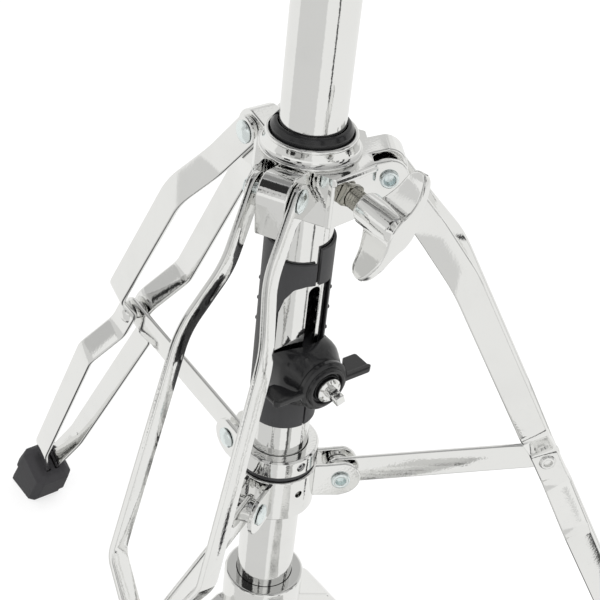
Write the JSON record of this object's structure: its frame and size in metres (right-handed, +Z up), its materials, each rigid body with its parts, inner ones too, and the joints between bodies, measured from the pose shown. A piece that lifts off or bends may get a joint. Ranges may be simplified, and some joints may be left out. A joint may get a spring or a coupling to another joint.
{
  "type": "hi-hat stand",
  "caption": "Pedal-operated stand for two cymbals, with a folding double-braced tripod that slides and turns on a plated tube, and a rod that carries the upper cymbal in a clutch",
  "frame": {"origin": "on the floor, on the axis of the stand's tube, under the base frame", "axes": "+Z up along the tube, -Y toward the player and the pedal, +X to the player's right"},
  "size_m": [0.4856, 0.6101, 1.08],
  "materials": {
    "chrome": "bright chrome plate on steel, worn a little at the bends",
    "zinc": "bluish zinc plate, semi-matte",
    "nickel": "dull warm nickel plate",
    "steel": "plain bright steel",
    "black_plastic": "matte black moulded plastic",
    "gloss_plastic": "satin to glossy black moulded plastic",
    "rubber": "soft matte black rubber",
    "felt": "pressed off-white wool felt"
  },
  "bodies": {
    "base": {"lower_tube": "chrome", "base_frame": "chrome", "radius_rod_left": "steel", "radius_rod_right": "steel", "heel_plate": "chrome", "heel_pad": "rubber", "hinge_pin": "steel", "lower_collar": "chrome", "black_washer": "black_plastic", "tube_sleeve": "black_plastic", "height_clamp": "chrome", "height_nut": "chrome"},
    "collar_screw": {"grub_screw": "steel"},
    "spike_left": {"spur_left": "steel"},
    "spike_right": {"spur_right": "steel"},
    "pedal": {"footboard": "chrome"},
    "link": {"drive_link": "steel"},
    "pull_rod": {"drive_yoke": "steel", "lower_rod": "steel", "upper_rod": "chrome"},
    "spring_tension": {"tension_clamp": "gloss_plastic", "spring_carrier": "black_plastic", "key_stud": "chrome", "return_spring": "steel"},
    "tension_nut": {"tension_wing_nut": "gloss_plastic"},
    "tripod": {"lower_hub": "chrome", "low_rivet_left": "zinc", "low_rivet_right": "zinc", "low_rivet_back": "zinc"},
    "sliding_hub": {"upper_hub": "chrome", "hub_bush": "gloss_plastic", "square_nut": "nickel", "hub_rivet_left": "zinc", "hub_rivet_right": "zinc", "hub_rivet_back": "zinc"},
    "hub_screw": {"wing_screw": "chrome"},
    "leg_left": {"leg_left_strip_a": "chrome", "leg_left_strip_b": "chrome", "foot_left": "rubber"},
    "leg_right": {"leg_right_strip_a": "chrome", "leg_right_strip_b": "chrome", "foot_right": "rubber"},
    "leg_back": {"leg_back_strip_a": "chrome", "leg_back_strip_b": "chrome", "foot_back": "rubber"},
    "brace_left": {"strut_left": "chrome"},
    "brace_right": {"strut_right": "chrome"},
    "brace_back": {"strut_back": "chrome"},
    "height_tube": {"upper_tube": "chrome", "memory_lock": "chrome", "cymbal_seat": "chrome", "seat_felt": "felt"},
    "height_screw": {"height_bolt": "chrome"},
    "clutch": {"clutch_body": "chrome", "clutch_felt_upper": "felt", "clutch_felt_lower": "felt"},
    "clutch_lock": {"clutch_screw": "chrome"},
    "clutch_ring": {"clutch_nut": "chrome"}
  },
  "joints": [
    {"name": "pedal_hinge", "type": "hinge", "parent": "base", "child": "pedal", "pos_m": [0, -0.246, 0.016], "axis": [-1, 0, 0], "range_deg": [0, 6.8]},
    {"name": "rod_slide", "type": "slide", "parent": "base", "child": "pull_rod", "axis": [0, 0, -1], "range_m": [0, 0.0295], "stiffness_N_per_m": 1500, "springref_m": -0.02, "deforming": ["return_spring"]},
    {"name": "link_hinge", "type": "hinge", "parent": "pull_rod", "child": "link", "pos_m": [0, 0, 0.14], "axis": [1, 0, 0], "range_deg": [0, 6]},
    {"name": "tension_slide", "type": "slide", "parent": "base", "child": "spring_tension", "axis": [0, 0, 1], "range_m": [-0.013, 0.02], "deforming": ["return_spring"]},
    {"name": "tension_nut_turn", "type": "hinge", "parent": "spring_tension", "child": "tension_nut", "pos_m": [0, -0.026, 0.292], "axis": [0, -1, 0], "range_deg": [0, 270]},
    {"name": "tripod_swivel", "type": "hinge", "parent": "base", "child": "tripod", "pos_m": [0, 0, 0.203], "axis": [0, 0, 1], "range_deg": [-45, 6.5]},
    {"name": "hub_slide", "type": "slide", "parent": "tripod", "child": "sliding_hub", "axis": [0, 0, 1], "range_m": [0, 0.1197]},
    {"name": "leg_left_fold", "type": "hinge", "parent": "sliding_hub", "child": "leg_left", "pos_m": [-0.02823, -0.0163, 0.395], "axis": [0.5, -0.866, 0], "range_deg": [0, 25.1]},
    {"name": "leg_right_fold", "type": "hinge", "parent": "sliding_hub", "child": "leg_right", "pos_m": [0.02823, -0.0163, 0.395], "axis": [0.5, 0.866, 0], "range_deg": [0, 25.1]},
    {"name": "leg_back_fold", "type": "hinge", "parent": "sliding_hub", "child": "leg_back", "pos_m": [0, 0.0326, 0.395], "axis": [-1, 0, 0], "range_deg": [0, 25.1]},
    {"name": "brace_left_fold", "type": "hinge", "parent": "tripod", "child": "brace_left", "pos_m": [-0.0278, -0.01605, 0.2181], "axis": [-0.5, 0.866, 0], "range_deg": [0, 70.7]},
    {"name": "brace_right_fold", "type": "hinge", "parent": "tripod", "child": "brace_right", "pos_m": [0.0278, -0.01605, 0.2181], "axis": [-0.5, -0.866, 0], "range_deg": [0, 70.7]},
    {"name": "brace_back_fold", "type": "hinge", "parent": "tripod", "child": "brace_back", "pos_m": [0, 0.0321, 0.2181], "axis": [1, 0, 0], "range_deg": [0, 70.7]},
    {"name": "hub_screw_turn", "type": "hinge", "parent": "sliding_hub", "child": "hub_screw", "pos_m": [0, -0.04, 0.3935], "axis": [0, -1, 0], "range_deg": [0, 270]},
    {"name": "height_slide", "type": "slide", "parent": "base", "child": "height_tube", "axis": [0, 0, 1], "range_m": [0, 0.14]},
    {"name": "height_screw_turn", "type": "hinge", "parent": "base", "child": "height_screw", "pos_m": [0, -0.029, 0.574], "axis": [-1, 0, 0], "range_deg": [0, 270]},
    {"name": "clutch_slide", "type": "slide", "parent": "pull_rod", "child": "clutch", "axis": [0, 0, 1], "range_m": [-0.1, 0.06]},
    {"name": "clutch_screw_turn", "type": "hinge", "parent": "clutch", "child": "clutch_lock", "pos_m": [0, -0.012, 0.995], "axis": [0, -1, 0], "range_deg": [0, 270]},
    {"name": "clutch_nut_turn", "type": "hinge", "parent": "clutch", "child": "clutch_ring", "pos_m": [0, 0, 0.942], "axis": [0, 0, 1], "continuous": true},
    {"name": "collar_screw_turn", "type": "hinge", "parent": "base", "child": "collar_screw", "pos_m": [0, -0.017, 0.2353], "axis": [0, -1, 0], "range_deg": [0, 270]},
    {"name": "spike_left_turn", "type": "hinge", "parent": "base", "child": "spike_left", "pos_m": [-0.055, 0.026, 0.026], "axis": [0, 0, 1], "continuous": true},
    {"name": "spike_right_turn", "type": "hinge", "parent": "base", "child": "spike_right", "pos_m": [0.055, 0.026, 0.026], "axis": [0, 0, 1], "continuous": true}
  ],
  "couplings": [
    {"joint": "rod_slide", "follows": "pedal_hinge", "m_per_rad": 0.246},
    {"joint": "link_hinge", "follows": "pedal_hinge", "ratio": 0.8},
    {"joint": "leg_left_fold", "follows": "hub_slide", "rad_per_m": 3.6598},
    {"joint": "leg_right_fold", "follows": "hub_slide", "rad_per_m": 3.6598},
    {"joint": "leg_back_fold", "follows": "hub_slide", "rad_per_m": 3.6598},
    {"joint": "brace_left_fold", "follows": "hub_slide", "rad_per_m": 10.309},
    {"joint": "brace_right_fold", "follows": "hub_slide", "rad_per_m": 10.309},
    {"joint": "brace_back_fold", "follows": "hub_slide", "rad_per_m": 10.309}
  ]
}
